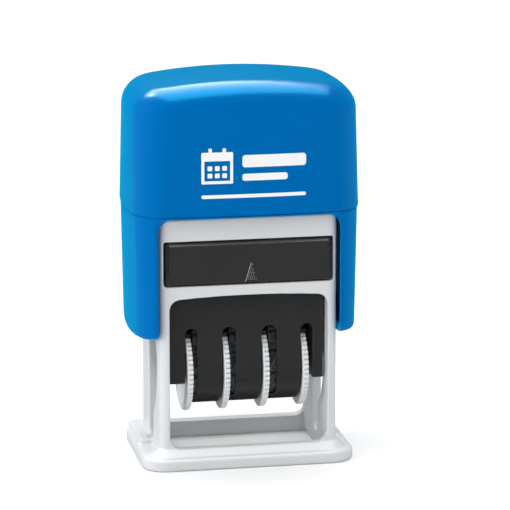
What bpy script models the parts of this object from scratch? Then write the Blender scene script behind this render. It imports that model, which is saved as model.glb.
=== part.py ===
"""A self-inking date stamp, built as the separate pieces it comes apart into.

Metres, +Z up. The origin is on the paper plane, in the middle of the base. The front, with the
thumb wheels and the ink drawer, faces -Y. All sizes below are in millimetres and are turned into
metres when a mesh is made.
"""

import math

import bmesh
import bpy
from mathutils import Matrix, Vector

MM = 0.001
GAP = 0.3  # clearance between pieces that touch or slide

# Frame
FRAME_X, FRAME_Y, FRAME_TOP = 15.5, 10.3, 43.75
FRAME_CORNER, TOP_WALL = 1.5, 1.3
INNER_X, INNER_Y = 13.8, 8.8
WINDOW_LOW, WINDOW_HIGH, WINDOW_CORNER = 3.4, 29.8, 1.9
WINDOW_ARCH = 0.4  # rise of the window's top edge in the middle
REAR_BAR_TOP = 2.9
TUNNEL_X, TUNNEL_LOW, TUNNEL_HIGH = 14.75, 32.1, 39.9
ROOF_TOP = 41.0  # upper face of the plate over the drawer
BASE_X, BASE_Y, BASE_CORNER, BASE_TOP = 18.6, 12.6, 4.2, 2.2
PLATEAU_TOP, PLATEAU_FRONT, PLATEAU_X = 3.0, -1.8, 17.9

# Print mechanism, seen along the X axis
PIVOT_Y, PIVOT_Z = 0.2, 25.6
TRAVEL = 18.9
AXLE_Y, AXLE_Z = -1.8, 15.7
TYPE_Z = 32.2  # height of the type face at rest, just under the ink pad

# Side slots of the frame
SLOT_FRONT, SLOT_REAR, SLOT_LOW, SLOT_HIGH = -2.1, 2.5, 2.6, 29.3
CAM_LOW, CAM_HIGH, CAM_DEPTH = 8.2, 25.2, 4.2

# Cap. From above it is a round-cornered box whose four sides bow out in the middle.
CAP_X, CAP_Y, CAP_CORNER = 18.85, 11.6, 4.0
SIDE_BOW, FRONT_BOW = 0.07, 0.09  # how far the sides bow out, as parts of the half sizes
CAP_TOP_X, CAP_TOP_Y, CAP_TOP_CORNER = 18.45, 11.5, 5.2  # half sizes where the top rounding starts
CAP_TOP, DOME_DROP = 67.2, 0.0053  # height in the middle, and its fall per square millimetre of x
CAP_WALL = 1.3
LEDGE_Z = 44.8
SHOULDER_X, SHOULDER_Y = 3.9, 4.2  # edge radii over the sides and over the front and back
CORNER_STEPS, ACROSS, ALONG = 8, 12, 6  # divisions of its corners, front and sides

# Skirt under the cap, with the two legs that carry the pins
SKIRT_X, SKIRT_Y, SKIRT_FOOT_X = 18.7, 11.45, 18.35
LEG_LOW, LEG_ARCH, LEG_ROUND = 22.2, 1.0, 1.3  # height in the middle, rise to the front, edge radius
LEG_WALL, LEG_FRONT_WALL, LEG_INNER = 1.4, 1.0, 15.8
LEG_HOLLOW_X = (SKIRT_FOOT_X - LEG_WALL) * (1 + SIDE_BOW)  # inner face of the leg's outer wall
OPENING_TOP, OPENING_CORNER = 43.9, 2.3
RECESS_X, RECESS_Y, RECESS_TOP, RECESS_CORNER = 17.8, 11.3, 44.1, 3.9
TONGUE_Y, TONGUE_HEIGHT = 6.0, 3.5

# Carriage
CARRIAGE_X = 13.5
CAVITY_LEFT, CAVITY_RIGHT = -10.7, 11.6
LOBE_RADIUS, LOBE_WALL = 6.2, 0.65
EAR_LOW, LUG_RADIUS = 14.3, 2.3
SLOT_TOP, SLOT_FOOT, FOOT_ROUND = 24.1, 11.3, 0.6  # thumb slots
MOUTH_FRONT, MOUTH_REAR, MOUTH_LOW = -4.6, 5.75, 28.0
REAR_ACCESS_TOP = 19.5
WHEEL_LEFT = (-10.5, -4.05, 2.85, 9.75)  # left faces of the thumb discs
THUMB_SLOT_WIDTH = (2.15, 2.45, 2.8, 2.15)
DISC_THICKNESS, DISC_RADIUS, TOOTH_DEPTH, TEETH = 1.0, 7.45, 0.35, 52
DRUM_RADIUS = 3.5
BAND_SPANS = ((-9.15, -4.4), (-2.7, 2.5), (4.15, 6.6), (6.9, 9.4))
BAND_THICKNESS = 1.5
AXLE_RADIUS, PIN_RADIUS, PEG_RADIUS, PEG_OFFSET = 1.0, 1.2, 0.8, 2.4
NOSE_HALF, NOSE_RADIUS = 2.0, 1.0

# Ink drawer and spring
DRAWER_X, DRAWER_FRONT, DRAWER_LOW, DRAWER_HIGH, DRAWER_WALL = 14.4, 10.5, 32.4, 39.6, 1.1
PANEL_X, PANEL_LOW, PANEL_DEPTH, PANEL_BEVEL = 13.95, 34.2, 0.8, 0.5
PAD_FACE, PAD_BACK = 32.5, 36.5
SPRING_RADIUS, SPRING_WIRE, SPRING_TURNS = 2.9, 0.3, 6.5
SPRING_LOW, SPRING_HIGH = 41.5, 64.9

BLUE = ("cap_blue", (0.0, 0.16, 0.48), 0.28, 0.0)
GREY = ("frame_grey", (0.66, 0.69, 0.72), 0.42, 0.0)
BLACK = ("carriage_black", (0.03, 0.03, 0.032), 0.55, 0.0)
WHITE = ("wheel_white", (0.82, 0.83, 0.83), 0.4, 0.0)
RUBBER = ("band_rubber", (0.06, 0.06, 0.065), 0.8, 0.0)
FELT = ("pad_felt", (0.05, 0.05, 0.12), 0.95, 0.0)
STEEL = ("bright_steel", (0.6, 0.6, 0.6), 0.25, 1.0)


# ---------------------------------------------------------------- scene and materials


def clear_scene():
    for item in list(bpy.data.objects):
        bpy.data.objects.remove(item, do_unlink=True)


def new_collection(name):
    collection = bpy.data.collections.new(name)
    bpy.context.scene.collection.children.link(collection)
    return collection


clear_scene()
PARTS = new_collection("self_inking_stamp")
CUTTERS = new_collection("cutters")


def material(recipe):
    name, colour, roughness, metallic = recipe
    found = bpy.data.materials.get(name)
    if found:
        return found
    made = bpy.data.materials.new(name)
    made.use_nodes = True
    shader = made.node_tree.nodes["Principled BSDF"]
    shader.inputs["Base Color"].default_value = (*colour, 1.0)
    shader.inputs["Roughness"].default_value = roughness
    shader.inputs["Metallic"].default_value = metallic
    return made


def add_object(name, mesh, recipe=None, smooth=True):
    """Put a mesh in the parts, or in the cutters if it has no material."""
    if smooth:
        mesh.shade_smooth()
        mesh.set_sharp_from_angle(angle=math.radians(35))
    item = bpy.data.objects.new(name, mesh)
    if recipe:
        mesh.materials.append(material(recipe))
        PARTS.objects.link(item)
    else:
        CUTTERS.objects.link(item)
        item.hide_render = True
        item.display_type = "WIRE"
    return item


# ---------------------------------------------------------------- outlines, in millimetres


def arc(centre, radius, start, end, steps):
    """Points on an arc, from one angle to the other in degrees."""
    angles = [math.radians(start + (end - start) * i / steps) for i in range(steps + 1)]
    return [(centre[0] + radius * math.cos(a), centre[1] + radius * math.sin(a)) for a in angles]


def rounded_box_outline(low, high, radius, steps=8):
    """Rectangle from low to high with round corners, anticlockwise from the lower right one."""
    points = []
    corners = ((high[0], low[1], -90), (high[0], high[1], 0), (low[0], high[1], 90), (low[0], low[1], 180))
    for x, y, start in corners:
        centre = (x - math.copysign(radius, x - (low[0] + high[0]) / 2),
                  y - math.copysign(radius, y - (low[1] + high[1]) / 2))
        points += arc(centre, radius, start, start + 90, steps)
    return points


def belt_outline(circles, steps=48):
    """The outline of a tight belt round some circles, each one (x, y, radius)."""
    points = []
    for i in range(steps):
        angle = 2 * math.pi * i / steps
        direction = (math.cos(angle), math.sin(angle))
        reach = [x * direction[0] + y * direction[1] + r for x, y, r in circles]
        x, y, r = circles[reach.index(max(reach))]
        points.append((x + r * direction[0], y + r * direction[1]))
    return points


# ---------------------------------------------------------------- solids


def prism(name, outlines, axis, low, high, recipe=None):
    """Extrude flat outlines along an axis. Outlines after the first are holes in it.

    An outline's two numbers are (x, y) for axis Z, (x, z) for axis Y and (y, z) for axis X.
    """
    curve = bpy.data.curves.new(name, "CURVE")
    curve.dimensions = "2D"
    curve.fill_mode = "BOTH"
    curve.extrude = (high - low) / 2 * MM
    for outline in outlines:
        spline = curve.splines.new("POLY")
        spline.points.add(len(outline) - 1)
        for point, (a, b) in zip(spline.points, outline):
            point.co = (a * MM, b * MM, 0, 1)
        spline.use_cyclic_u = True
    middle = (low + high) / 2 * MM
    turn = {
        "Z": Matrix(((1, 0, 0, 0), (0, 1, 0, 0), (0, 0, 1, middle), (0, 0, 0, 1))),
        "Y": Matrix(((1, 0, 0, 0), (0, 0, -1, middle), (0, 1, 0, 0), (0, 0, 0, 1))),
        "X": Matrix(((0, 0, 1, middle), (1, 0, 0, 0), (0, 1, 0, 0), (0, 0, 0, 1))),
    }[axis]
    guide = bpy.data.objects.new(name + "_guide", curve)
    CUTTERS.objects.link(guide)
    bpy.context.view_layer.update()
    mesh = bpy.data.meshes.new_from_object(guide.evaluated_get(bpy.context.evaluated_depsgraph_get()))
    bpy.data.objects.remove(guide, do_unlink=True)
    work = bmesh.new()
    work.from_mesh(mesh)
    bmesh.ops.remove_doubles(work, verts=work.verts, dist=0.000001)
    bmesh.ops.transform(work, matrix=turn, verts=work.verts)
    bmesh.ops.recalc_face_normals(work, faces=work.faces)
    work.to_mesh(mesh)
    work.free()
    return add_object(name, mesh, recipe)


def box(name, low, high, recipe=None):
    work = bmesh.new()
    bmesh.ops.create_cube(work, size=MM)
    size = [h - l for l, h in zip(low, high)]
    centre = Vector([(l + h) / 2 * MM for l, h in zip(low, high)])
    bmesh.ops.scale(work, vec=size, verts=work.verts)
    bmesh.ops.translate(work, vec=centre, verts=work.verts)
    mesh = bpy.data.meshes.new(name)
    work.to_mesh(mesh)
    work.free()
    return add_object(name, mesh, recipe, smooth=False)


def rod(name, y, z, radius, low, high, recipe=None, sides=24):
    """A round bar along the X axis."""
    work = bmesh.new()
    length = (high - low) * MM
    bmesh.ops.create_cone(work, cap_ends=True, segments=sides, radius1=radius * MM,
                          radius2=radius * MM, depth=length)
    bmesh.ops.rotate(work, verts=work.verts, cent=(0, 0, 0), matrix=Matrix.Rotation(math.pi / 2, 3, "Y"))
    mesh = bpy.data.meshes.new(name)
    work.to_mesh(mesh)
    work.free()
    item = add_object(name, mesh, recipe)
    item.location = ((low + high) / 2 * MM, y * MM, z * MM)
    return item


def flat_end(work, ring):
    work.faces.new(ring)


def loft(name, rings, recipe=None, floor=flat_end, lid=flat_end):
    """Skin a stack of rings that all have the same number of points (x, y, z), and close both ends."""
    work = bmesh.new()
    rows = [[work.verts.new(Vector(p) * MM) for p in ring] for ring in rings]
    count = len(rows[0])
    for lower, upper in zip(rows, rows[1:]):
        for i in range(count):
            j = (i + 1) % count
            work.faces.new((lower[i], lower[j], upper[j], upper[i]))
    floor(work, rows[0])
    lid(work, rows[-1])
    bmesh.ops.recalc_face_normals(work, faces=work.faces)
    mesh = bpy.data.meshes.new(name)
    work.to_mesh(mesh)
    work.free()
    return add_object(name, mesh, recipe)


def combine(target, operation, *tools):
    """Cut the tools from the target, or join them to it, and keep them with the cutters."""
    for tool in tools:
        step = target.modifiers.new(tool.name, "BOOLEAN")
        step.operation = operation
        step.solver = "EXACT"
        step.object = tool


def cut(target, *tools):
    combine(target, "DIFFERENCE", *tools)


def join(target, *tools):
    combine(target, "UNION", *tools)


def mirrored_boxes(name, low, high):
    """Two boxes, one each side of the middle plane x = 0."""
    left = (-high[0], low[1], low[2])
    right = (-low[0], high[1], high[2])
    return box(name + "_right", low, high), box(name + "_left", left, right)


# ---------------------------------------------------------------- frame


def frame_ring(half_x, half_y, corner, z):
    outline = rounded_box_outline((-half_x, -half_y), (half_x, half_y), corner)
    return [(x, y, z) for x, y in outline]


def window_outline(low):
    """The opening in the front or rear, a rounded rectangle whose top edge is slightly arched."""
    points = rounded_box_outline((-INNER_X, low), (INNER_X, WINDOW_HIGH), WINDOW_CORNER)
    reach = INNER_X - WINDOW_CORNER
    steps = 12
    right_half = len(points) // 2
    between = [reach - 2 * reach * i / steps for i in range(1, steps)]
    top = [(x, WINDOW_HIGH + WINDOW_ARCH * (1 - (x / reach) ** 2)) for x in between]
    return points[:right_half] + top + points[right_half:]


def side_slot_outline():
    """The slot for the pins, with the pocket that turns the carriage over on its front side."""
    chord = CAM_HIGH - CAM_LOW
    radius = (chord ** 2 / 4 + CAM_DEPTH ** 2) / (2 * CAM_DEPTH)
    middle = (SLOT_FRONT - CAM_DEPTH + radius, (CAM_LOW + CAM_HIGH) / 2)
    half_angle = math.degrees(math.asin(chord / 2 / radius))
    pocket = arc(middle, radius, 180 - half_angle, 180 + half_angle, 14)
    end_radius = (SLOT_REAR - SLOT_FRONT) / 2
    centre_y = (SLOT_FRONT + SLOT_REAR) / 2
    lower = arc((centre_y, SLOT_LOW + end_radius), end_radius, 180, 360, 8)
    upper = arc((centre_y, SLOT_HIGH - end_radius), end_radius, 0, 180, 8)
    return pocket + lower + upper


def build_base():
    """The flange round the foot, the slope up to the frame and the raised places beside it."""
    edge, chamfer = 0.5, 0.3
    flange = loft("flange", [
        frame_ring(BASE_X - chamfer, BASE_Y - chamfer, BASE_CORNER - chamfer, 0),
        frame_ring(BASE_X, BASE_Y, BASE_CORNER, chamfer),
        frame_ring(BASE_X, BASE_Y, BASE_CORNER, BASE_TOP - edge),
        frame_ring(BASE_X - edge, BASE_Y - edge, BASE_CORNER - edge, BASE_TOP),
    ])
    slope = loft("slope", [
        frame_ring(BASE_X - 2 * edge, BASE_Y - edge, BASE_CORNER - edge, BASE_TOP - GAP),
        frame_ring(FRAME_X + GAP, FRAME_Y + GAP / 2, FRAME_CORNER, WINDOW_LOW),
    ])
    relief_depth = 5.4
    side_relief = mirrored_boxes("side_relief", (FRAME_X, PLATEAU_FRONT - relief_depth, BASE_TOP),
                                 (BASE_X + 1, BASE_Y + 1, WINDOW_LOW + 1))
    plateaus = mirrored_boxes("plateau", (FRAME_X - edge, PLATEAU_FRONT, BASE_TOP - edge),
                              (PLATEAU_X, BASE_Y - 2 * edge, PLATEAU_TOP))
    cut(slope, *side_relief)
    for block in plateaus:
        bevel = block.modifiers.new("soft_edge", "BEVEL")
        bevel.width = 0.35 * MM
        bevel.segments = 1
    return flange, slope, *plateaus


def build_frame():
    frame = loft("frame", [frame_ring(FRAME_X, FRAME_Y, FRAME_CORNER, 0),
                           frame_ring(FRAME_X, FRAME_Y, FRAME_CORNER, FRAME_TOP)], GREY)
    cavity = box("cavity", (-INNER_X, -INNER_Y, -1), (INNER_X, INNER_Y, TUNNEL_LOW + 1))
    front_window = prism("front_window", [window_outline(WINDOW_LOW)], "Y", -BASE_Y - 1, 0)
    rear_window = prism("rear_window", [window_outline(REAR_BAR_TOP)], "Y", -1, BASE_Y + 1)
    tunnel = prism("tunnel", [rounded_box_outline((-TUNNEL_X, TUNNEL_LOW), (TUNNEL_X, TUNNEL_HIGH), 0.25, 2)],
                   "Y", -FRAME_Y - 1, FRAME_Y + 1)
    top_well = box("top_well", (-TUNNEL_X, TOP_WALL - FRAME_Y, ROOF_TOP),
                   (TUNNEL_X, FRAME_Y - TOP_WALL, FRAME_TOP + 1))
    slots = prism("side_slots", [side_slot_outline()], "X", -FRAME_X - 0.5, FRAME_X + 0.5)
    join(frame, *build_base())
    cut(frame, cavity, front_window, rear_window, tunnel, top_well, slots)
    seat_outer = arc((0, 0), SPRING_RADIUS + 2.1, 0, 345, 23)
    seat_inner = arc((0, 0), SPRING_RADIUS + 0.8, 0, 345, 23)
    join(frame, prism("spring_seat", [seat_outer, seat_inner], "Z", ROOF_TOP - 0.4, FRAME_TOP - GAP))
    return frame


# ---------------------------------------------------------------- cap


def cap_outline(half_x, half_y, radius):
    """The cap from above before its sides are bowed, from the front left corner round to the right."""
    reach_x, reach_y = half_x - radius, half_y - radius
    across = [reach_x * (2 * i / ACROSS - 1) for i in range(1, ACROSS)]
    along = [reach_y * (2 * i / ALONG - 1) for i in range(1, ALONG)]
    points = arc((-reach_x, -reach_y), radius, 180, 270, CORNER_STEPS)
    points += [(x, -half_y) for x in across]
    points += arc((reach_x, -reach_y), radius, 270, 360, CORNER_STEPS)
    points += [(half_x, y) for y in along]
    points += arc((reach_x, reach_y), radius, 0, 90, CORNER_STEPS)
    points += [(-x, half_y) for x in across]
    points += arc((-reach_x, reach_y), radius, 90, 180, CORNER_STEPS)
    points += [(-half_x, -y) for y in along]
    return points


def bow(x, y):
    """Bow the cap's sides out, most of all in the middle of each."""
    return x * (1 + SIDE_BOW * (1 - (y / CAP_Y) ** 2)), y * (1 + FRONT_BOW * (1 - (x / CAP_X) ** 2))


def bowed_outline(half_x, half_y, radius):
    return [bow(x, y) for x, y in cap_outline(half_x, half_y, radius)]


def close_between(work, ring, run, side):
    """Close a ring with strips between its first run of points and the run on the other side."""
    first, beside = ring[:run], ring[run:run + side]
    second, rest = ring[run + side:2 * run + side], ring[2 * run + side:]
    for i in range(run - 1):
        work.faces.new((first[i], first[i + 1], second[-2 - i], second[-1 - i]))
    work.faces.new([first[-1], *beside, second[0]])
    work.faces.new([second[-1], *rest, first[0]])


def end_with_strips_along_y(work, ring):
    close_between(work, ring, 2 * CORNER_STEPS + ACROSS + 1, ALONG - 1)


def end_with_strips_along_x(work, ring):
    start = CORNER_STEPS + ACROSS  # the ring's first point on the right
    close_between(work, ring[start:] + ring[:start], 2 * CORNER_STEPS + ALONG + 1, ACROSS - 1)


def dome_height(x):
    return CAP_TOP - DOME_DROP * x * x


def shoulder_ring(turn, inset):
    """One ring of the cap's rounded top edge, whose radius over the sides and the front differ."""
    ring = []
    for x, y in cap_outline(CAP_TOP_X - inset, CAP_TOP_Y - inset, CAP_TOP_CORNER - inset):
        away_x = max(abs(x) - CAP_TOP_X + CAP_TOP_CORNER, 0) / (CAP_TOP_CORNER - inset)
        away_y = max(abs(y) - CAP_TOP_Y + CAP_TOP_CORNER, 0) / (CAP_TOP_CORNER - inset)
        radius = SHOULDER_Y + (SHOULDER_X - SHOULDER_Y) * away_x ** 2 - inset
        shrink = 1 - math.cos(turn)
        new_x = x - math.copysign((SHOULDER_X - inset) * shrink * away_x, x)
        new_y = y - math.copysign((SHOULDER_Y - inset) * shrink * away_y, y)
        ring.append((*bow(new_x, new_y), dome_height(new_x) - inset - radius * (1 - math.sin(turn))))
    return ring


def cap_surface(name, inset, low, recipe=None):
    """The outside of the cap as a solid, or its inside if it is inset by the wall."""
    rings = [[(x, y, low) for x, y in bowed_outline(CAP_X - inset, CAP_Y - inset, CAP_CORNER - inset)]]
    steps = 7
    rings += [shoulder_ring(math.pi / 2 * i / steps, inset) for i in range(steps + 1)]
    return loft(name, rings, recipe, lid=end_with_strips_along_y)


def build_cap_cover():
    cover = cap_surface("cap_cover", 0, LEDGE_Z, BLUE)
    inside = cap_surface("cap_inside", CAP_WALL, LEDGE_Z - 1)
    post = prism("spring_post", [arc((0, 0), SPRING_RADIUS - 0.75, 0, 337.5, 15)], "Z",
                 SPRING_HIGH - 4.5, CAP_TOP - CAP_WALL / 2)
    cut(cover, inside)
    join(cover, post)
    return cover


def skirt_shell(top):
    """The skirt before it is hollowed. Its lower edge is round, and arched when seen from the side."""
    rings = []
    steps = 4
    for step in range(steps + 1):
        turn = math.pi / 2 * step / steps
        inset = LEG_ROUND * (1 - math.sin(turn))
        low = LEG_LOW + LEG_ROUND * (1 - math.cos(turn))
        outline = cap_outline(SKIRT_FOOT_X - inset, SKIRT_Y - inset, CAP_CORNER - inset)
        rings.append([(*bow(x, y), low + LEG_ARCH * (y / SKIRT_Y) ** 2) for x, y in outline])
    rings.append([(x, y, top) for x, y in bowed_outline(SKIRT_X, SKIRT_Y, CAP_CORNER)])
    return loft("cap_skirt", rings, BLUE, floor=end_with_strips_along_x)


def build_cap_skirt():
    top = LEDGE_Z - GAP
    floor = LEG_LOW + LEG_ARCH + 1.2
    beyond = CAP_Y + 3
    skirt = skirt_shell(top)
    hollow = prism("skirt_hollow", [
        bowed_outline(SKIRT_FOOT_X - LEG_WALL, SKIRT_Y - LEG_FRONT_WALL, CAP_CORNER - LEG_WALL)
    ], "Z", floor, top + 1)
    opening = prism("skirt_opening", [
        rounded_box_outline((-LEG_INNER, LEG_LOW - 5), (LEG_INNER, OPENING_TOP), OPENING_CORNER)
    ], "Y", -beyond, beyond)
    recess = rounded_box_outline((-RECESS_X, LEG_LOW - 5), (RECESS_X, RECESS_TOP), RECESS_CORNER)
    front_recess = prism("front_recess", [recess], "Y", -beyond, -RECESS_Y)
    rear_recess = prism("rear_recess", [recess], "Y", RECESS_Y, beyond)
    cut(skirt, hollow, opening, front_recess, rear_recess)

    for side, name in ((-1, "left"), (1, "right")):
        ends = sorted((side * (LEG_INNER + 0.05), side * (LEG_HOLLOW_X + LEG_WALL / 3)))
        boss = rod("boss_" + name, PIVOT_Y, PIVOT_Z, PIN_RADIUS + 0.95, *ends)
        hole_ends = sorted((side * (LEG_INNER - 1), side * LEG_HOLLOW_X))
        hole = rod("boss_hole_" + name, PIVOT_Y, PIVOT_Z, PIN_RADIUS + 0.1, *hole_ends)
        join(skirt, boss)
        cut(skirt, hole)

    outer, inner = CAP_WALL + GAP, 2 * CAP_WALL + GAP
    tongues = prism("tongues", [
        bowed_outline(CAP_X - inset, CAP_Y - inset, CAP_CORNER - inset) for inset in (outer, inner)
    ], "Z", top - 2, top + TONGUE_HEIGHT)
    reach = box("tongue_reach", (-CAP_X - 2, -TONGUE_Y, LEG_LOW), (CAP_X + 2, TONGUE_Y, CAP_TOP))
    combine(tongues, "INTERSECT", reach)
    join(skirt, tongues)
    return skirt


def build_return_spring():
    points = 14
    total = int(SPRING_TURNS * points)
    rise = SPRING_HIGH - SPRING_LOW - 2 * SPRING_WIRE
    curve = bpy.data.curves.new("return_spring", "CURVE")
    curve.dimensions = "3D"
    curve.bevel_depth = SPRING_WIRE * MM
    curve.bevel_resolution = 2
    curve.use_fill_caps = True
    spline = curve.splines.new("POLY")
    spline.points.add(total)
    for i, point in enumerate(spline.points):
        angle = 2 * math.pi * i / points
        height = SPRING_LOW + SPRING_WIRE + rise * i / total
        point.co = (SPRING_RADIUS * math.cos(angle) * MM, SPRING_RADIUS * math.sin(angle) * MM,
                    height * MM, 1)
    curve.materials.append(material(STEEL))
    spring = bpy.data.objects.new("return_spring", curve)
    PARTS.objects.link(spring)
    return spring


# ---------------------------------------------------------------- ink drawer


def build_ink_drawer():
    """A tray that is open below, with a raised panel on the end that shows."""
    drawer = prism("ink_drawer", [rounded_box_outline((-DRAWER_X, DRAWER_LOW), (DRAWER_X, DRAWER_HIGH), 0.25, 2)],
                   "Y", -DRAWER_FRONT, DRAWER_FRONT, BLACK)
    pocket = box("pad_pocket", (DRAWER_WALL - DRAWER_X, DRAWER_WALL - DRAWER_FRONT, DRAWER_LOW - 1),
                 (DRAWER_X - DRAWER_WALL, DRAWER_FRONT - DRAWER_WALL, DRAWER_HIGH - DRAWER_WALL))
    beside_panel = mirrored_boxes("beside_panel", (PANEL_X, -DRAWER_FRONT - 1, PANEL_LOW),
                                  (DRAWER_X + 1, PANEL_DEPTH - DRAWER_FRONT, DRAWER_HIGH + 1))
    bevel = [(-DRAWER_FRONT - 1, DRAWER_HIGH + 1), (-DRAWER_FRONT - 1, DRAWER_HIGH - PANEL_BEVEL - 1),
             (PANEL_BEVEL + 1 - DRAWER_FRONT, DRAWER_HIGH + 1)]
    top_bevel = prism("top_bevel", [bevel], "X", -DRAWER_X - 1, DRAWER_X + 1)
    cut(drawer, pocket, *beside_panel, top_bevel)
    return drawer


def build_ink_pad():
    inset = DRAWER_WALL + GAP
    pad = box("ink_pad", (inset - DRAWER_X, inset - DRAWER_FRONT, PAD_FACE),
              (DRAWER_X - inset, DRAWER_FRONT - inset, PAD_BACK), FELT)
    bevel = pad.modifiers.new("soft_edge", "BEVEL")
    bevel.width = 0.4 * MM
    bevel.segments = 2
    return pad


# ---------------------------------------------------------------- carriage


def housing_outline(inset):
    front_top = (AXLE_Y - LOBE_RADIUS + 1.8, 29.6, 1.8 - inset)
    rear_top = (5.4, 30.4, 1.0 - inset)
    return belt_outline([(AXLE_Y, AXLE_Z, LOBE_RADIUS - inset), front_top, rear_top])


def build_carriage_housing():
    housing = prism("carriage_housing", [housing_outline(0)], "X", -CARRIAGE_X, CARRIAGE_X, BLACK)
    inner = prism("housing_inner", [housing_outline(LOBE_WALL)], "X", CAVITY_LEFT, CAVITY_RIGHT)
    mouth = box("housing_mouth", (CAVITY_LEFT, MOUTH_FRONT, MOUTH_LOW), (CAVITY_RIGHT, MOUTH_REAR, TYPE_Z + 1))
    rear = box("rear_access", (CAVITY_LEFT, AXLE_Y + 0.5, 5), (CAVITY_RIGHT, 12, REAR_ACCESS_TOP))
    ears = [box(f"ear_cut_{i}", (x, -12, 0), (x + 3, 12, EAR_LOW))
            for i, x in enumerate((CAVITY_LEFT - 3, CAVITY_RIGHT))]
    cut(housing, inner, mouth, rear, *ears)
    for i, (left, width) in enumerate(zip(WHEEL_LEFT, THUMB_SLOT_WIDTH)):
        slot_left = left - 0.25
        centre = slot_left + width / 2
        outline = arc((centre, SLOT_TOP - width / 2), width / 2, 0, 180, 8)
        for side, start in ((slot_left + FOOT_ROUND, 180), (slot_left + width - FOOT_ROUND, 270)):
            outline += arc((side, SLOT_FOOT + FOOT_ROUND), FOOT_ROUND, start, start + 90, 3)
        beside_ear = slot_left + width > CAVITY_RIGHT  # this slot is as wide at its foot as above
        foot_right = slot_left + width if beside_ear else left + DISC_THICKNESS + 0.25
        disc_slot = box(f"disc_slot_{i}", (slot_left, -12, 5), (foot_right, 12, SLOT_FOOT + 2))
        cut(housing, prism(f"thumb_slot_{i}", [outline], "Y", -12, 12), disc_slot)
    for name, low, high in (("left", -CARRIAGE_X, CAVITY_LEFT), ("right", CAVITY_RIGHT, CARRIAGE_X)):
        join(housing, rod("lug_" + name, AXLE_Y, AXLE_Z, LUG_RADIUS, low + 0.05, high - 0.05))
    cut(housing, rod("axle_hole", AXLE_Y, AXLE_Z, AXLE_RADIUS + 0.05, -CARRIAGE_X + 0.5, CARRIAGE_X - 0.5))
    for side, name in ((-1, "left"), (1, "right")):
        pin_ends = sorted((side * (CARRIAGE_X - 1.5), side * (CARRIAGE_X + 1)))
        cut(housing, rod("pin_hole_" + name, PIVOT_Y, PIVOT_Z, PIN_RADIUS + 0.05, *pin_ends))
        cut(housing, rod("peg_hole_" + name, PIVOT_Y, PIVOT_Z + PEG_OFFSET, PEG_RADIUS + 0.05, *pin_ends))
    cut(housing, box("platen_socket", (CAVITY_LEFT - 0.9, PIVOT_Y - 1.1, 29.0),
                     (CAVITY_RIGHT + 0.9, PIVOT_Y + 1.1, 30.5)))
    return housing


def nose_circles(extra):
    height = TYPE_Z - BAND_THICKNESS - GAP - NOSE_RADIUS
    return [(PIVOT_Y - NOSE_HALF, height, NOSE_RADIUS + extra), (PIVOT_Y + NOSE_HALF, height, NOSE_RADIUS + extra)]


def build_type_platen():
    lower = [(PIVOT_Y - 1.0, 27.4, 0.6), (PIVOT_Y + 1.0, 27.4, 0.6)]
    platen = prism("type_platen", [belt_outline(nose_circles(0) + lower, 32)], "X",
                   CAVITY_LEFT + 0.1, CAVITY_RIGHT - 0.1, BLACK)
    tenon = box("platen_tenon", (CAVITY_LEFT - 0.8, PIVOT_Y - 1.0, 29.1),
                (CAVITY_RIGHT + 0.8, PIVOT_Y + 1.0, 30.2))
    join(platen, tenon)
    return platen


def build_date_wheel(index):
    """A toothed thumb disc and the drum that its band runs on, turning about the axle."""
    left = WHEEL_LEFT[index]
    band_low, band_high = BAND_SPANS[index]
    rim = []
    for i in range(2 * TEETH):
        angle = math.pi * i / TEETH
        radius = DISC_RADIUS - TOOTH_DEPTH * (i % 2)
        rim.append((radius * math.cos(angle), radius * math.sin(angle)))
    disc = prism(f"date_wheel_{index + 1}", [rim], "X", 0, DISC_THICKNESS, WHITE)
    disc.location = Vector((left, AXLE_Y, AXLE_Z)) * MM
    drum_end = band_high if band_low > left else band_low
    ends = sorted((left + DISC_THICKNESS / 2, drum_end))
    drum = rod(f"drum_{index + 1}", AXLE_Y, AXLE_Z, DRUM_RADIUS, *ends)
    bore = rod(f"wheel_bore_{index + 1}", AXLE_Y, AXLE_Z, AXLE_RADIUS + 0.15, ends[0] - 2, ends[1] + 2)
    join(disc, drum)
    cut(disc, bore)
    return disc


def build_date_band(index):
    low, high = BAND_SPANS[index]

    def loop(extra):
        return belt_outline([(AXLE_Y, AXLE_Z, DRUM_RADIUS + extra)] + nose_circles(extra))

    return prism(f"date_band_{index + 1}", [loop(GAP + BAND_THICKNESS), loop(GAP)], "X", low, high, RUBBER)


def build_detent_spring():
    """A steel strip inside the housing's front wall, with one finger over each disc's teeth."""
    thickness = 0.3
    back = AXLE_Y - LOBE_RADIUS + LOBE_WALL + GAP / 2
    strip_low, knee, tip = 24.6, 23.0, 22.0
    strip = box("detent_spring", (CAVITY_LEFT + GAP, back, strip_low),
                (CAVITY_RIGHT - GAP, back + thickness, strip_low + 3.2), STEEL)
    finger = [(back, strip_low + 0.5), (back, knee), (back + 1.1, tip), (back + 1.35, tip + 0.25),
              (back + thickness, knee + 0.15), (back + thickness, strip_low + 0.5)]
    for i, left in enumerate(WHEEL_LEFT):
        join(strip, prism(f"finger_{i}", [finger], "X", left + 0.1, left + DISC_THICKNESS - 0.1))
    return strip


def build_pins():
    for side, name in ((-1, "left"), (1, "right")):
        pin_ends = sorted((side * (CARRIAGE_X - 1.4), side * (LEG_HOLLOW_X - GAP)))
        rod("pivot_pin_" + name, PIVOT_Y, PIVOT_Z, PIN_RADIUS, *pin_ends, recipe=STEEL)
        peg_ends = sorted((side * (CARRIAGE_X - 1.4), side * (FRAME_X - 0.4)))
        rod("cam_peg_" + name, PIVOT_Y, PIVOT_Z + PEG_OFFSET, PEG_RADIUS, *peg_ends, recipe=STEEL)


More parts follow.
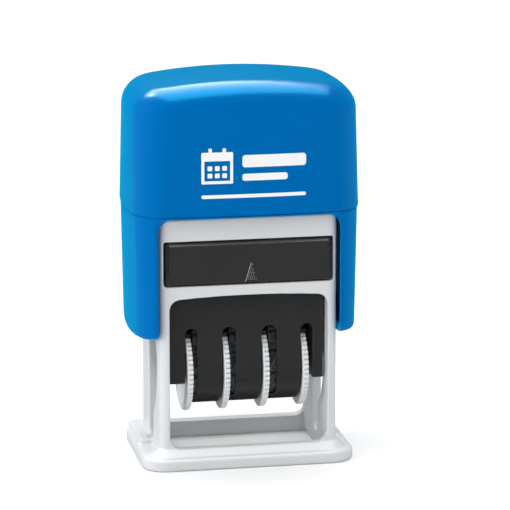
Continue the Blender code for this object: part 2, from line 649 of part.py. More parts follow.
def build_carriage():
    build_carriage_housing()
    build_type_platen()
    rod("wheel_axle", AXLE_Y, AXLE_Z, AXLE_RADIUS, 0.6 - CARRIAGE_X, CARRIAGE_X - 0.6, STEEL)
    for index in range(len(WHEEL_LEFT)):
        build_date_wheel(index)
        build_date_band(index)
    build_detent_spring()
    build_pins()


build_frame()
build_cap_cover()
build_cap_skirt()
build_return_spring()
build_ink_drawer()
build_ink_pad()
build_carriage()
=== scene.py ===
"""Looks of a self-inking date stamp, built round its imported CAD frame.

The CAD gives every place and size. This script softens the moulded edges, adds the details
that are too fine for the CAD, and gives each surface its material.
"""

import bisect
import math

import bmesh
import bpy
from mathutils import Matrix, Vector


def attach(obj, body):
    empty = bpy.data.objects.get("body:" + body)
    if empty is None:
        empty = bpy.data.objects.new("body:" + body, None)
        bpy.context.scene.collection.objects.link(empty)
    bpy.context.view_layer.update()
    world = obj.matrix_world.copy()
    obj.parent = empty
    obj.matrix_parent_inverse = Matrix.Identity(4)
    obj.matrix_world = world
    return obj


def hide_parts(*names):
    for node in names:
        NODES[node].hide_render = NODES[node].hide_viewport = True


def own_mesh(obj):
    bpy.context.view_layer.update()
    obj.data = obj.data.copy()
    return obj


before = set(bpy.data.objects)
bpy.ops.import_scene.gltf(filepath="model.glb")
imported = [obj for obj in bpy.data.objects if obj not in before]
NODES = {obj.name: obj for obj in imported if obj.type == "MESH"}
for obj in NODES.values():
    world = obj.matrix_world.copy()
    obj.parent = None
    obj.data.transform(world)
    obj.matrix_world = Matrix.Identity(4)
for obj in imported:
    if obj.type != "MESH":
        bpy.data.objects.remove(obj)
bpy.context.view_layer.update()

MM = 0.001


# ---------------------------------------------------------------- mesh tools, in millimetres


def arc(centre, radius, start, end, steps):
    """Points on an arc, from one angle to the other in degrees."""
    angles = [math.radians(start + (end - start) * i / steps) for i in range(steps + 1)]
    return [(centre[0] + radius * math.cos(a), centre[1] + radius * math.sin(a)) for a in angles]


def mesh_from(rings, strips):
    """A mesh of closed rings of points, skinned along each strip (a list of ring numbers)."""
    work = bmesh.new()
    rows = [[work.verts.new(Vector(p) * MM) for p in ring] for ring in rings]
    for strip in strips:
        for lower, upper in zip(strip, strip[1:]):
            count = len(rows[lower])
            for i in range(count):
                j = (i + 1) % count
                work.faces.new((rows[lower][i], rows[lower][j], rows[upper][j], rows[upper][i]))
    return work, rows


def finish_mesh(name, work, smooth_angle=40):
    bmesh.ops.recalc_face_normals(work, faces=work.faces)
    mesh = bpy.data.meshes.new(name)
    work.to_mesh(mesh)
    work.free()
    mesh.shade_smooth()
    mesh.set_sharp_from_angle(angle=math.radians(smooth_angle))
    item = bpy.data.objects.new(name, mesh)
    bpy.context.scene.collection.objects.link(item)
    return item


def dress(item, finish):
    """Give a piece or a CAD node one material on all its faces."""
    item.data.materials.clear()
    item.data.materials.append(finish)
    return item


def soften(item, voxel, rounds):
    """Round all edges of a moulded piece: rebuild its skin evenly, then relax it."""
    skin = item.modifiers.new("even_skin", "REMESH")
    skin.mode = "VOXEL"
    skin.voxel_size = voxel * MM
    skin.use_smooth_shade = True
    relax = item.modifiers.new("relax", "SMOOTH")
    relax.factor = 0.5
    relax.iterations = rounds
    return item


# ---------------------------------------------------------------- materials


class Nodes:
    """Short ways to add and join shader nodes in one material."""

    def __init__(self, name):
        self.material = bpy.data.materials.new(name)
        self.material.use_nodes = True
        self.tree = self.material.node_tree
        self.shader = self.tree.nodes["Principled BSDF"]
        self.place = self.add("ShaderNodeTexCoord").outputs["Object"]

    def add(self, kind, **settings):
        node = self.tree.nodes.new(kind)
        for key, value in settings.items():
            setattr(node, key, value)
        return node

    def link(self, source, target):
        self.tree.links.new(source, target)

    def noise(self, scale, detail=4.0, roughness=0.5):
        """Noise whose features repeat about every 1 / scale metres."""
        node = self.add("ShaderNodeTexNoise")
        node.inputs["Scale"].default_value = scale
        node.inputs["Detail"].default_value = detail
        node.inputs["Roughness"].default_value = roughness
        self.link(self.place, node.inputs["Vector"])
        return node.outputs["Fac"]

    def span(self, value, low, high, from_low=0.0, from_high=1.0):
        """Map a value from one range to another."""
        node = self.add("ShaderNodeMapRange")
        node.inputs["From Min"].default_value = from_low
        node.inputs["From Max"].default_value = from_high
        node.inputs["To Min"].default_value = low
        node.inputs["To Max"].default_value = high
        self.link(value, node.inputs["Value"])
        return node.outputs["Result"]

    def blend(self, factor, first, second):
        """A colour between two, by a factor."""
        node = self.add("ShaderNodeMix", data_type="RGBA")
        self.link(factor, node.inputs["Factor"])
        for value, socket in ((first, node.inputs["A"]), (second, node.inputs["B"])):
            if isinstance(value, tuple):
                socket.default_value = (*value, 1.0)
            else:
                self.link(value, socket)
        return node.outputs["Result"]

    def bump(self, height, strength, distance, normal=None):
        node = self.add("ShaderNodeBump")
        node.inputs["Strength"].default_value = strength
        node.inputs["Distance"].default_value = distance
        self.link(height, node.inputs["Height"])
        if normal is not None:
            self.link(normal, node.inputs["Normal"])
        return node.outputs["Normal"]

    def edges(self, width):
        """Near 1 on edges, where a normal averaged over some width leaves the true one."""
        averaged = self.add("ShaderNodeBevel", samples=4)
        averaged.inputs["Radius"].default_value = width
        true_normal = self.add("ShaderNodeNewGeometry").outputs["Normal"]
        agreement = self.add("ShaderNodeVectorMath", operation="DOT_PRODUCT")
        self.link(averaged.outputs["Normal"], agreement.inputs[0])
        self.link(true_normal, agreement.inputs[1])
        return self.span(agreement.outputs["Value"], 1.0, 0.0, 0.85, 0.99)


def moulded_plastic(name, colour, roughness, grain, grain_depth, tint=None, spread=0.05,
                    specular=0.5, wear_and_highlight=1.1):
    """Coloured moulded plastic: faint colour drift, a fine grain, and edges paler and smoother, as slight
    wear and, with a large gain, as a painted highlight.
    """
    n = Nodes(name)
    drift = n.noise(90, detail=3)
    darker = tuple(c * (1 - spread) for c in colour)
    lighter = tuple(min(1.0, c * (1 + spread)) for c in colour)
    # Paler edges: slight wear at the small default gain, a painted highlight along the edges where the gain
    # is large
    worn_and_highlit = tuple(min(1.0, c * wear_and_highlight) for c in colour)
    edges = n.edges(0.00025)
    n.link(n.blend(edges, n.blend(drift, darker, lighter), worn_and_highlit), n.shader.inputs["Base Color"])
    cloud = n.noise(60, detail=5)
    level = n.span(cloud, roughness * 0.93, roughness * 1.07, 0.3, 0.7)
    polish = n.add("ShaderNodeMix", data_type="FLOAT")
    n.link(edges, polish.inputs["Factor"])
    n.link(level, polish.inputs["A"])
    polish.inputs["B"].default_value = roughness * 0.8
    n.link(polish.outputs["Result"], n.shader.inputs["Roughness"])
    fine = n.noise(grain, detail=3, roughness=0.6)
    slow = n.noise(60, detail=2)
    first = n.bump(slow, 0.1, 0.00003)
    n.link(n.bump(fine, 0.5, grain_depth, first), n.shader.inputs["Normal"])
    n.shader.inputs["Specular IOR Level"].default_value = specular
    if tint:
        n.shader.inputs["Specular Tint"].default_value = (*tint, 1.0)
    return n.material


def steel(name, dark, light, roughness):
    """Drawn wire, turned pins and spring strip: bare metal with fine scratches."""
    n = Nodes(name)
    n.shader.inputs["Metallic"].default_value = 1.0
    tone = n.noise(900, detail=4)
    n.link(n.blend(tone, dark, light), n.shader.inputs["Base Color"])
    n.link(n.span(tone, roughness * 0.8, roughness * 1.3), n.shader.inputs["Roughness"])
    n.link(n.bump(n.noise(5000, detail=2), 0.2, 0.00001), n.shader.inputs["Normal"])
    return n.material


def inked_felt():
    """Fibres matted with dark ink."""
    n = Nodes("felt_inked")
    fibres = n.noise(6000, detail=6, roughness=0.7)
    n.link(n.blend(fibres, (0.004, 0.004, 0.008), (0.03, 0.03, 0.05)), n.shader.inputs["Base Color"])
    n.link(n.span(fibres, 0.6, 1.0), n.shader.inputs["Roughness"])
    n.link(n.bump(fibres, 0.8, 0.00008), n.shader.inputs["Normal"])
    return n.material


def blue_plastic():
    """The handle's plastic, with a pale blue bloom where it is seen at a low angle."""
    made = moulded_plastic("plastic_blue", (0.0, 0.128, 0.43), 0.23, 9000, 0.000004,
                           tint=(0.0, 0.7, 1.0), spread=0.02, specular=0.3)
    shader = made.node_tree.nodes["Principled BSDF"]
    shader.inputs["Sheen Weight"].default_value = 0.8
    shader.inputs["Sheen Roughness"].default_value = 0.45
    shader.inputs["Sheen Tint"].default_value = (0.0, 0.58, 1.0, 1.0)
    return made


BLUE = blue_plastic()
GREY = moulded_plastic("plastic_grey", (0.67, 0.69, 0.705), 0.45, 7000, 0.000004, spread=0.015, specular=0.3)
# Edges of the black and dark pieces are painted 2.6 times paler, a painted highlight along the edges; the
# rubber bands' edges are painted 5 times paler
BLACK = moulded_plastic("plastic_black", (0.031, 0.031, 0.032), 0.42, 3500, 0.00004, spread=0.12, wear_and_highlight=2.6)
DARK = moulded_plastic("plastic_dark", (0.034, 0.034, 0.035), 0.35, 5000, 0.000008, spread=0.1, wear_and_highlight=2.6)
# The arrow's pale grey is a painted highlight: the light its raised edge and dots catch on the dark drawer
PAINTED_ARROW_HIGHLIGHT = moulded_plastic("plastic_arrow_painted_highlight", (0.3, 0.3, 0.31), 0.3, 5000, 0.000006, spread=0.1)
WHITE = moulded_plastic("plastic_white", (0.8, 0.82, 0.83), 0.4, 7000, 0.000004, spread=0.015)
RUBBER = moulded_plastic("rubber_band", (0.03, 0.036, 0.042), 0.28, 4000, 0.00001, spread=0.15, wear_and_highlight=5.0)
INK = moulded_plastic("printed_white", (0.9, 0.91, 0.92), 0.45, 9000, 0.000003, spread=0.01)
STEEL = steel("steel_drawn", (0.5, 0.5, 0.51), (0.68, 0.68, 0.68), 0.25)
SPRING_STEEL = steel("steel_blackened", (0.05, 0.05, 0.055), (0.1, 0.1, 0.1), 0.4)
FELT = inked_felt()


# ---------------------------------------------------------------- cap cover

CAP_X, CAP_Y, CAP_CORNER = 18.85, 11.6, 4.0
SIDE_BOW, FRONT_BOW = 0.07, 0.09
CAP_TOP_X, CAP_TOP_Y, CAP_TOP_CORNER = 18.45, 11.5, 5.2
CAP_TOP, DOME_DROP = 67.2, 0.0053
CAP_WALL = 1.3
RIM_Z, RIM_ROUND = 44.55, 0.18
SHOULDER_X, SHOULDER_Y = 3.9, 4.2
CORNER_STEPS, ACROSS, ALONG = 16, 32, 16


def cap_outline(half_x, half_y, radius):
    """The cap from above before its sides are bowed, from the front left corner round to the right."""
    reach_x, reach_y = half_x - radius, half_y - radius
    across = [reach_x * (2 * i / ACROSS - 1) for i in range(1, ACROSS)]
    along = [reach_y * (2 * i / ALONG - 1) for i in range(1, ALONG)]
    points = arc((-reach_x, -reach_y), radius, 180, 270, CORNER_STEPS)
    points += [(x, -half_y) for x in across]
    points += arc((reach_x, -reach_y), radius, 270, 360, CORNER_STEPS)
    points += [(half_x, y) for y in along]
    points += arc((reach_x, reach_y), radius, 0, 90, CORNER_STEPS)
    points += [(-x, half_y) for x in across]
    points += arc((-reach_x, reach_y), radius, 90, 180, CORNER_STEPS)
    points += [(-half_x, -y) for y in along]
    return points


def bow(x, y):
    """Bow the cap's sides out, most of all in the middle of each."""
    return x * (1 + SIDE_BOW * (1 - (y / CAP_Y) ** 2)), y * (1 + FRONT_BOW * (1 - (x / CAP_X) ** 2))


def shoulder_ring(turn, inset):
    """One ring of the rounded top edge, whose radius over the sides and the front differ."""
    ring = []
    for x, y in cap_outline(CAP_TOP_X - inset, CAP_TOP_Y - inset, CAP_TOP_CORNER - inset):
        away_x = max(abs(x) - CAP_TOP_X + CAP_TOP_CORNER, 0) / (CAP_TOP_CORNER - inset)
        away_y = max(abs(y) - CAP_TOP_Y + CAP_TOP_CORNER, 0) / (CAP_TOP_CORNER - inset)
        radius = SHOULDER_Y + (SHOULDER_X - SHOULDER_Y) * away_x ** 2 - inset
        shrink = 1 - math.cos(turn)
        new_x = x - math.copysign((SHOULDER_X - inset) * shrink * away_x, x)
        new_y = y - math.copysign((SHOULDER_Y - inset) * shrink * away_y, y)
        height = CAP_TOP - DOME_DROP * new_x ** 2
        ring.append((*bow(new_x, new_y), height - inset - radius * (1 - math.sin(turn))))
    return ring


def cap_rings(inset, low, rounding):
    """Rings of the cap's outside, or of its inside if it is inset by the wall, from the bottom up."""
    rings = []
    for step in range(5 if rounding else 1):
        turn = math.pi / 2 * step / 4
        back = inset + rounding * (1 - math.sin(turn))
        outline = cap_outline(CAP_X - back, CAP_Y - back, CAP_CORNER - back)
        rings.append([(*bow(x, y), low + rounding * (1 - math.cos(turn))) for x, y in outline])
    steps = 16
    rings += [shoulder_ring(math.pi / 2 * i / steps, inset) for i in range(steps + 1)]
    return rings


def close_dome(work, ring):
    """Close the top with straight strips from its front to its back."""
    run, side = 2 * CORNER_STEPS + ACROSS + 1, ALONG - 1
    front, beside = ring[:run], ring[run:run + side]
    back, rest = ring[run + side:2 * run + side], ring[2 * run + side:]
    for i in range(run - 1):
        work.faces.new((front[i], front[i + 1], back[-2 - i], back[-1 - i]))
    work.faces.new([front[-1], *beside, back[0]])
    work.faces.new([back[-1], *rest, front[0]])


def build_cap_cover():
    outer = cap_rings(0, RIM_Z, RIM_ROUND)
    inner = cap_rings(CAP_WALL, RIM_Z, 0)
    rings = outer + inner
    outside = list(range(len(outer)))
    inside = list(range(len(outer), len(rings)))
    work, rows = mesh_from(rings, [outside, inside, [inside[0], outside[0]]])
    close_dome(work, rows[outside[-1]])
    close_dome(work, rows[inside[-1]])
    cover = finish_mesh("cap_shell", work, 50)
    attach(cover, "cap")
    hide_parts("cap_cover")
    return dress(cover, BLUE)


# ---------------------------------------------------------------- printed mark on the cap

INK_LIFT, INK_DEPTH = 0.03, 0.06


def cap_front(x, z):
    """The y of the cap's front face, by its width across and its height."""
    rise = (z - RIM_Z) / (CAP_TOP - SHOULDER_Y - RIM_Z)
    half_y = CAP_Y - (CAP_Y - CAP_TOP_Y) * rise
    return -half_y * (1 + FRONT_BOW * (1 - (x / CAP_X) ** 2))


def add_bar(work, left, right, low, high, corner):
    """One printed bar with round ends, laid on the bowed front in narrow strips."""
    columns = [left + corner * (1 - math.cos(math.pi / 2 * i / 6)) for i in range(7)]
    inner_steps = max(1, round((right - left - 2 * corner) / 0.8))
    columns += [left + corner + (right - left - 2 * corner) * i / inner_steps for i in range(1, inner_steps)]
    columns += [right - corner * (1 - math.sin(math.pi / 2 * i / 6)) for i in range(7)]
    rows = []
    for x in columns:
        into_corner = max(left + corner - x, x - right + corner, 0)
        trim = corner - math.sqrt(max(corner ** 2 - into_corner ** 2, 0))
        ends = ((low + trim, INK_LIFT), (high - trim + 0.001, INK_LIFT),
                (high - trim + 0.001, INK_LIFT - INK_DEPTH), (low + trim, INK_LIFT - INK_DEPTH))
        rows.append([work.verts.new(Vector((x, cap_front(x, z) - lift, z)) * MM) for z, lift in ends])
    for first, second in zip(rows, rows[1:]):
        for i in range(4):
            j = (i + 1) % 4
            work.faces.new((first[i], first[j], second[j], second[i]))
    work.faces.new(rows[0])
    work.faces.new(rows[-1][::-1])


def build_mark():
    """A plain calendar sign and three plain bars, in the place of the printing."""
    work = bmesh.new()
    left, low, size, line, header = -8.6, 50.2, 5.4, 0.5, 1.5
    right, high = left + size, low + size
    add_bar(work, left, right, low, low + line, 0.2)
    add_bar(work, left, right, high - header, high, 0.2)
    add_bar(work, left, left + line, low + line, high - header, 0.02)
    add_bar(work, right - line, right, low + line, high - header, 0.02)
    day, day_pitch = 0.8, 1.25
    for column in range(3):
        for row in range(2):
            x = left + 1.05 + day_pitch * column
            z = low + 1.0 + day_pitch * row
            add_bar(work, x, x + day, z, z + day, 0.15)
    ring_width, ring_height = 0.6, 0.7
    for x in (left + 2 * ring_width, right - 3 * ring_width):
        add_bar(work, x, x + ring_width, high, high + ring_height, 0.2)
    text_left, text_right = -1.6, 9.4
    add_bar(work, text_left, text_right, 52.9, 55.0, 0.5)
    add_bar(work, text_left, 6.2, 50.6, 51.8, 0.4)
    add_bar(work, left, text_right, 47.7, 48.3, 0.25)
    mark = finish_mesh("cap_print", work)
    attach(mark, "cap")
    return dress(mark, INK)


# ---------------------------------------------------------------- thumb wheels

AXLE_Y, AXLE_Z = -1.8, 15.7
WHEEL_LEFT = (-10.5, -4.05, 2.85, 9.75)
DISC_THICKNESS, DISC_RADIUS, TOOTH_DEPTH, TEETH = 1.0, 7.45, 0.6, 52
DISH_RADIUS, DISH_DEPTH = 6.3, 0.12
DRUM_RADIUS, BORE_RADIUS = 3.5, 1.15
BAND_SPANS = ((-9.15, -4.4), (-2.7, 2.5), (4.15, 6.6), (6.9, 9.4))
POINTS_PER_TOOTH = 8


def wheel_ring(x, radius, tooth_depth):
    """One ring of a wheel, cut into round teeth to some depth."""
    count = TEETH * POINTS_PER_TOOTH
    ring = []
    for i in range(count):
        angle = 2 * math.pi * i / count
        crest = math.sqrt(abs(math.cos(TEETH * angle / 2)))
        reach = radius - tooth_depth * (1 - crest)
        ring.append((x, AXLE_Y + reach * math.cos(angle), AXLE_Z + reach * math.sin(angle)))
    return ring


def rim_profile(left, right):
    """Points (x, radius, tooth depth) over the rim, from one side of the disc to the other.

    The teeth run out just short of the left side and are open on the right."""
    edge = 0.16
    profile = [(left, DISH_RADIUS, 0)]
    for step in range(4):
        turn = math.pi / 2 * step / 3
        profile.append((left + edge * (1 - math.cos(turn)), DISC_RADIUS - edge * (1 - math.sin(turn)), 0))
    profile.append((left + 1.6 * edge, DISC_RADIUS, TOOTH_DEPTH))
    for step in range(4):
        turn = math.pi / 2 * step / 3
        radius = DISC_RADIUS - edge * (1 - math.cos(turn))
        profile.append((right - edge * (1 - math.sin(turn)), radius, TOOTH_DEPTH))
    profile += [(right, DISC_RADIUS - 0.7, 0), (right, DISH_RADIUS, 0)]
    return profile


def build_thumb_wheel(index):
    """A disc with round teeth and dished sides, and beside it the drum of its band."""
    left = WHEEL_LEFT[index]
    right = left + DISC_THICKNESS
    low, high = BAND_SPANS[index]
    web_left, web_right = left + DISH_DEPTH, right - DISH_DEPTH
    hub_left = low if low < left else web_left
    hub_right = high if low > left else web_right
    profile = [(hub_left, BORE_RADIUS, 0), (hub_left, DRUM_RADIUS, 0), (web_left, DRUM_RADIUS, 0),
               (web_left, DISH_RADIUS - 0.3, 0)]
    profile += rim_profile(left, right)
    profile += [(web_right, DISH_RADIUS - 0.3, 0), (web_right, DRUM_RADIUS, 0), (hub_right, DRUM_RADIUS, 0),
                (hub_right, BORE_RADIUS, 0)]
    profile = [point for i, point in enumerate(profile) if point != profile[i - 1]]
    rings = [wheel_ring(*point) for point in profile]
    work = mesh_from(rings, [[*range(len(rings)), 0]])[0]
    wheel = finish_mesh(f"thumb_wheel_{index + 1}", work, 35)
    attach(wheel, f"wheel_{index + 1}")
    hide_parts(f"date_wheel_{index + 1}")
    return dress(wheel, WHITE)


# ---------------------------------------------------------------- date bands

PIVOT_Y = 0.2
NOSE_HALF, NOSE_RADIUS, NOSE_Z = 2.0, 1.0, 29.4
BAND_THICKNESS, BAND_GAP = 1.5, 0.3
DIGIT_LIFT = 0.35
PLACES = 14  # raised numbers round one band
BAND_NUMBERS = (
    ("01", "02", "03", "04", "05", "06", "07", "08", "09", "10", "11", "12", "13", "14"),
    ("01", "02", "03", "04", "05", "06", "07", "08", "09", "10", "11", "12", "13", "14"),
    ("1", "2", "3", "4", "5", "6", "7", "8", "9", "0", "2", "4", "7", "5"),
    ("0", "1", "2", "3", "4", "5", "6", "7", "8", "9", "0", "1", "2", "3"),
)


def belt_outline(circles, steps):
    """The outline of a tight belt round some circles, each one (y, z, radius)."""
    points = []
    for i in range(steps):
        angle = 2 * math.pi * i / steps
        direction = (math.cos(angle), math.sin(angle))
        reach = [y * direction[0] + z * direction[1] + r for y, z, r in circles]
        y, z, r = circles[reach.index(max(reach))]
        points.append((y + r * direction[0], z + r * direction[1]))
    return points


class Belt:
    """The inside face of a date band, measured by length from the drum's rear side."""

    def __init__(self):
        circles = [(AXLE_Y, AXLE_Z, DRUM_RADIUS + BAND_GAP)]
        circles += [(PIVOT_Y + side * NOSE_HALF, NOSE_Z, NOSE_RADIUS + BAND_GAP) for side in (-1, 1)]
        outline = belt_outline(circles, 720)
        self.points = [Vector(p) for p in outline + outline[:1]]
        self.lengths = [0.0]
        for first, second in zip(self.points, self.points[1:]):
            self.lengths.append(self.lengths[-1] + (second - first).length)
        self.total = self.lengths[-1]

    def place(self, length):
        length %= self.total
        i = min(bisect.bisect_right(self.lengths, length), len(self.lengths) - 1)
        start, end = self.lengths[i - 1], self.lengths[i]
        return self.points[i - 1].lerp(self.points[i], (length - start) / max(end - start, 1e-9))

    def above(self, length, height):
        """The point (y, z) at some height over the belt's inside face."""
        step = 0.05
        along = (self.place(length + step) - self.place(length - step)).normalized()
        return self.place(length) + Vector((along.y, -along.x)) * height


BELT = Belt()


def groove(length):
    """1 in the narrow grooves between the raised numbers, 0 elsewhere."""
    pitch = BELT.total / PLACES
    from_groove = abs((length % pitch) - pitch / 2)
    half, slope = 0.28, 0.12
    return min(max((half + slope - from_groove) / slope, 0), 1)


def band_body(index):
    """The band's loop, with soft edges and a groove between each two numbers."""
    low, high = BAND_SPANS[index]
    edge, carve, samples = 0.15, 0.5, 560
    profile = [(low, 0, 0), (low, BAND_THICKNESS - edge, 1), (low + edge, BAND_THICKNESS, 1),
               (high - edge, BAND_THICKNESS, 1), (high, BAND_THICKNESS - edge, 1), (high, 0, 0)]
    rings = []
    for x, height, carved in profile:
        ring = []
        for i in range(samples):
            length = BELT.total * i / samples
            y, z = BELT.above(length, height - carved * carve * groove(length))
            ring.append((x, y, z))
        rings.append(ring)
    return mesh_from(rings, [[*range(len(rings)), 0]])[0]


def add_number(work, text, centre_x, width, length):
    """Raise one mirrored number on a band, wrapped to the band's path."""
    tall, wide_each = 3.1, 2.15
    curve = bpy.data.curves.new("number", "FONT")
    curve.body = text
    curve.align_x = "CENTER"
    curve.align_y = "CENTER"
    curve.extrude = 0.5
    guide = bpy.data.objects.new("number", curve)
    bpy.context.scene.collection.objects.link(guide)
    bpy.context.view_layer.update()
    mesh = bpy.data.meshes.new_from_object(guide.evaluated_get(bpy.context.evaluated_depsgraph_get()))
    bpy.data.objects.remove(guide, do_unlink=True)
    digit = bmesh.new()
    digit.from_mesh(mesh)
    xs = [v.co.x for v in digit.verts]
    ys = [v.co.y for v in digit.verts]
    stretch = min(width, wide_each * len(text)) / (max(xs) - min(xs))
    rise = tall / (max(ys) - min(ys))
    middle_x, middle_y = (max(xs) + min(xs)) / 2, (max(ys) + min(ys)) / 2
    for v in digit.verts:
        v.co = Vector(((middle_x - v.co.x) * stretch, (v.co.y - middle_y) * rise, v.co.z))
    bmesh.ops.triangulate(digit, faces=digit.faces)
    long_edges = [e for e in digit.edges if abs(e.verts[0].co.y - e.verts[1].co.y) > 0.8]
    bmesh.ops.subdivide_edges(digit, edges=long_edges, cuts=3)
    for v in digit.verts:
        height = BAND_THICKNESS + (DIGIT_LIFT if v.co.z > 0 else -0.1)
        y, z = BELT.above(length + v.co.y, height)
        v.co = Vector((centre_x + v.co.x, y, z)) * MM
    digit.to_mesh(mesh)
    digit.free()
    work.from_mesh(mesh)
    bpy.data.meshes.remove(mesh)


def build_band(index):
    low, high = BAND_SPANS[index]
    work = band_body(index)
    for place, text in enumerate(BAND_NUMBERS[index]):
        add_number(work, text, (low + high) / 2, high - low - 0.3, BELT.total * place / PLACES)
    band = finish_mesh(f"number_band_{index + 1}", work, 40)
    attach(band, "carriage")
    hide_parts(f"date_band_{index + 1}")
    return dress(band, RUBBER)


# ---------------------------------------------------------------- drawer arrow

DRAWER_FACE = -10.5


def build_drawer_arrow():
    """The fine moulded arrow that shows where to push: a raised left edge and a dotted field."""
    work = bmesh.new()
    apex, left_foot, right_foot = (0.3, 35.9), (-0.7, 32.6), (1.4, 32.6)
    half, lift = 0.07, 0.1
    front, back = DRAWER_FACE - lift, DRAWER_FACE + 0.05
    foot = [(left_foot[0] - half, left_foot[1]), (left_foot[0] + half, left_foot[1])]
    tip = [(apex[0] + half, apex[1]), (apex[0] - half, apex[1])]
    corners = foot + tip
    near = [work.verts.new(Vector((x, front, z)) * MM) for x, z in corners]
    far = [work.verts.new(Vector((x, back, z)) * MM) for x, z in corners]
    work.faces.new(near)
    for i in range(4):
        j = (i + 1) % 4
        work.faces.new((near[i], near[j], far[j], far[i]))
    rows, pitch, size = 9, 0.36, 0.09
    for row in range(1, rows):
        z = apex[1] - row * pitch
        share = (apex[1] - z) / (apex[1] - left_foot[1])
        start = apex[0] + (left_foot[0] - apex[0]) * share + 0.3
        end = apex[0] + (right_foot[0] - apex[0]) * share
        for column in range(int((end - start) / pitch) + 1):
            place = Vector((start + column * pitch, DRAWER_FACE, z)) * MM
            made = bmesh.ops.create_icosphere(work, subdivisions=2, radius=size * MM)
            bmesh.ops.translate(work, verts=made["verts"], vec=place)
    arrow = finish_mesh("drawer_arrow", work)
    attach(arrow, "drawer")
    # Pale grey finish: a painted highlight on the raised edge and the dots
    return dress(arrow, PAINTED_ARROW_HIGHLIGHT)


# ---------------------------------------------------------------- return spring

SPRING_RADIUS, SPRING_WIRE, SPRING_TURNS = 2.9, 0.3, 6.5
SPRING_LOW, SPRING_HIGH, STROKE = 41.5, 64.9, 18.9


def build_spring():
    """The wire coil between the frame and the cap, built at its rest length; nothing here makes it flatten
    as the cap goes down.
    """
    steps_per_turn, sides = 48, 16
    total = int(SPRING_TURNS * steps_per_turn)
    rise = SPRING_HIGH - SPRING_LOW - 2 * SPRING_WIRE
    rings = []
    for i in range(total + 1):
        angle = 2 * math.pi * i / steps_per_turn
        centre = (SPRING_RADIUS, SPRING_LOW + SPRING_WIRE + rise * i / total)
        section = arc(centre, SPRING_WIRE, 0, 360, sides)[:-1]
        rings.append([(r * math.cos(angle), r * math.sin(angle), z) for r, z in section])
    work, rows = mesh_from(rings, [range(len(rings))])
    work.faces.new(rows[0])
    work.faces.new(rows[-1][::-1])
    spring = finish_mesh("spring_coil", work, 60)
    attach(spring, "frame")
    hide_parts("return_spring")
    dress(spring, STEEL)
    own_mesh(spring)


# ---------------------------------------------------------------- carried-over nodes


def dress_nodes():
    soften(dress(NODES["frame"], GREY), 0.16, 8)
    soften(dress(NODES["cap_skirt"], BLUE), 0.16, 8)
    soften(dress(NODES["carriage_housing"], BLACK), 0.15, 4)
    soften(dress(NODES["ink_drawer"], DARK), 0.16, 4)
    dress(NODES["type_platen"], DARK)
    dress(NODES["ink_pad"], FELT)
    for name in ("wheel_axle", "pivot_pin_left", "pivot_pin_right", "cam_peg_left", "cam_peg_right"):
        dress(NODES[name], STEEL)
    dress(NODES["detent_spring"], SPRING_STEEL)


# ---------------------------------------------------------------- studio

SKY_LOW, SKY_HIGH = 0.0, 1.9
LAMP_AIM = Vector((0, 0, 0.035))


def build_floor():
    work = bmesh.new()
    bmesh.ops.create_grid(work, x_segments=8, y_segments=8, size=3.0)
    floor = finish_mesh("floor", work)
    n = Nodes("paper_white")
    n.link(n.blend(n.noise(3), (0.9, 0.9, 0.9), (0.93, 0.93, 0.93)), n.shader.inputs["Base Color"])
    n.shader.inputs["Roughness"].default_value = 0.9
    n.shader.inputs["Specular IOR Level"].default_value = 0.1
    dress(floor, n.material)
    floor.visible_glossy = False  # the gloss mirrors only the softboxes, which keeps the colours clean


def add_softbox(name, place, size, power, glossy):
    """A soft lamp aimed at the object, seen either in its gloss or by its matt colour."""
    data = bpy.data.lights.new(name, "AREA")
    data.shape = "RECTANGLE"
    data.size, data.size_y = size
    data.energy = power
    lamp = bpy.data.objects.new(name, data)
    bpy.context.scene.collection.objects.link(lamp)
    lamp.location = place
    lamp.rotation_euler = (LAMP_AIM - Vector(place)).to_track_quat("-Z", "Y").to_euler()
    lamp.visible_glossy = glossy
    lamp.visible_diffuse = not glossy


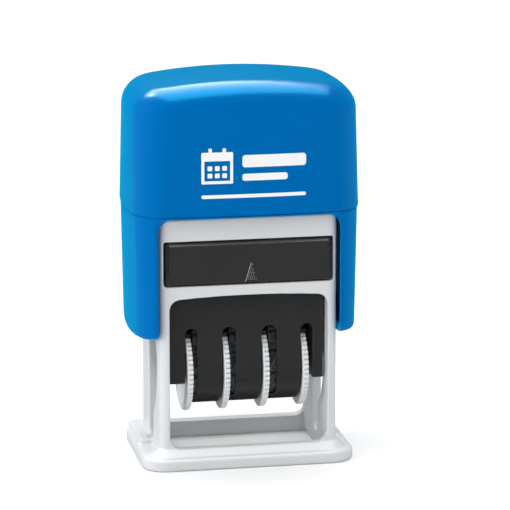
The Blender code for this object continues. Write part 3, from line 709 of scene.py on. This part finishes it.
def build_sky():
    """A dome that brightens from a dark horizon to the zenith. It isn't mirrored in the gloss."""
    world = bpy.data.worlds.new("studio")
    world.use_nodes = True
    tree = world.node_tree
    direction = tree.nodes.new("ShaderNodeTexCoord").outputs["Generated"]
    split = tree.nodes.new("ShaderNodeSeparateXYZ")
    level = tree.nodes.new("ShaderNodeMapRange")
    level.inputs["From Min"].default_value = 0.0
    level.inputs["From Max"].default_value = 1.0
    level.inputs["To Min"].default_value = SKY_LOW
    level.inputs["To Max"].default_value = SKY_HIGH
    tree.links.new(direction, split.inputs["Vector"])
    tree.links.new(split.outputs["Z"], level.inputs["Value"])
    tree.links.new(level.outputs["Result"], tree.nodes["Background"].inputs["Strength"])
    tree.nodes["Background"].inputs["Color"].default_value = (1, 1, 1, 1)
    world.cycles_visibility.glossy = False
    bpy.context.scene.world = world


def build_studio():
    build_floor()
    build_sky()
    add_softbox("softbox_above", (-0.05, 0.17, 0.89), (0.9, 1.5), 52, glossy=True)
    add_softbox("softbox_corner", (-0.5, 0.45, 0.8), (0.15, 0.15), 5, glossy=True)
    add_softbox("softbox_left", (-0.9, -0.1, 0.2), (0.5, 0.5), 3.5, glossy=False)
    bpy.context.scene.view_settings.view_transform = "Standard"


def build_camera():
    """The photographer's viewpoint: to the left of the front, and a little above."""
    azimuth, elevation = math.radians(-11.05), math.radians(12.77)
    back = Vector((math.sin(azimuth) * math.cos(elevation),
                   -math.cos(azimuth) * math.cos(elevation), math.sin(elevation)))
    target, distance = Vector((1.97, -5.34, 36.0)) * MM, 0.52221
    data = bpy.data.cameras.new("camera")
    data.sensor_width = 36
    data.lens = 213.9
    data.clip_start, data.clip_end = 0.01, 20
    camera = bpy.data.objects.new("camera", data)
    bpy.context.scene.collection.objects.link(camera)
    camera.location = target + back * distance
    camera.rotation_euler = (-back).to_track_quat("-Z", "Y").to_euler()
    bpy.context.scene.camera = camera


build_cap_cover()
build_mark()
for number in range(4):
    build_thumb_wheel(number)
    build_band(number)
build_drawer_arrow()
build_spring()
dress_nodes()
build_studio()
build_camera()
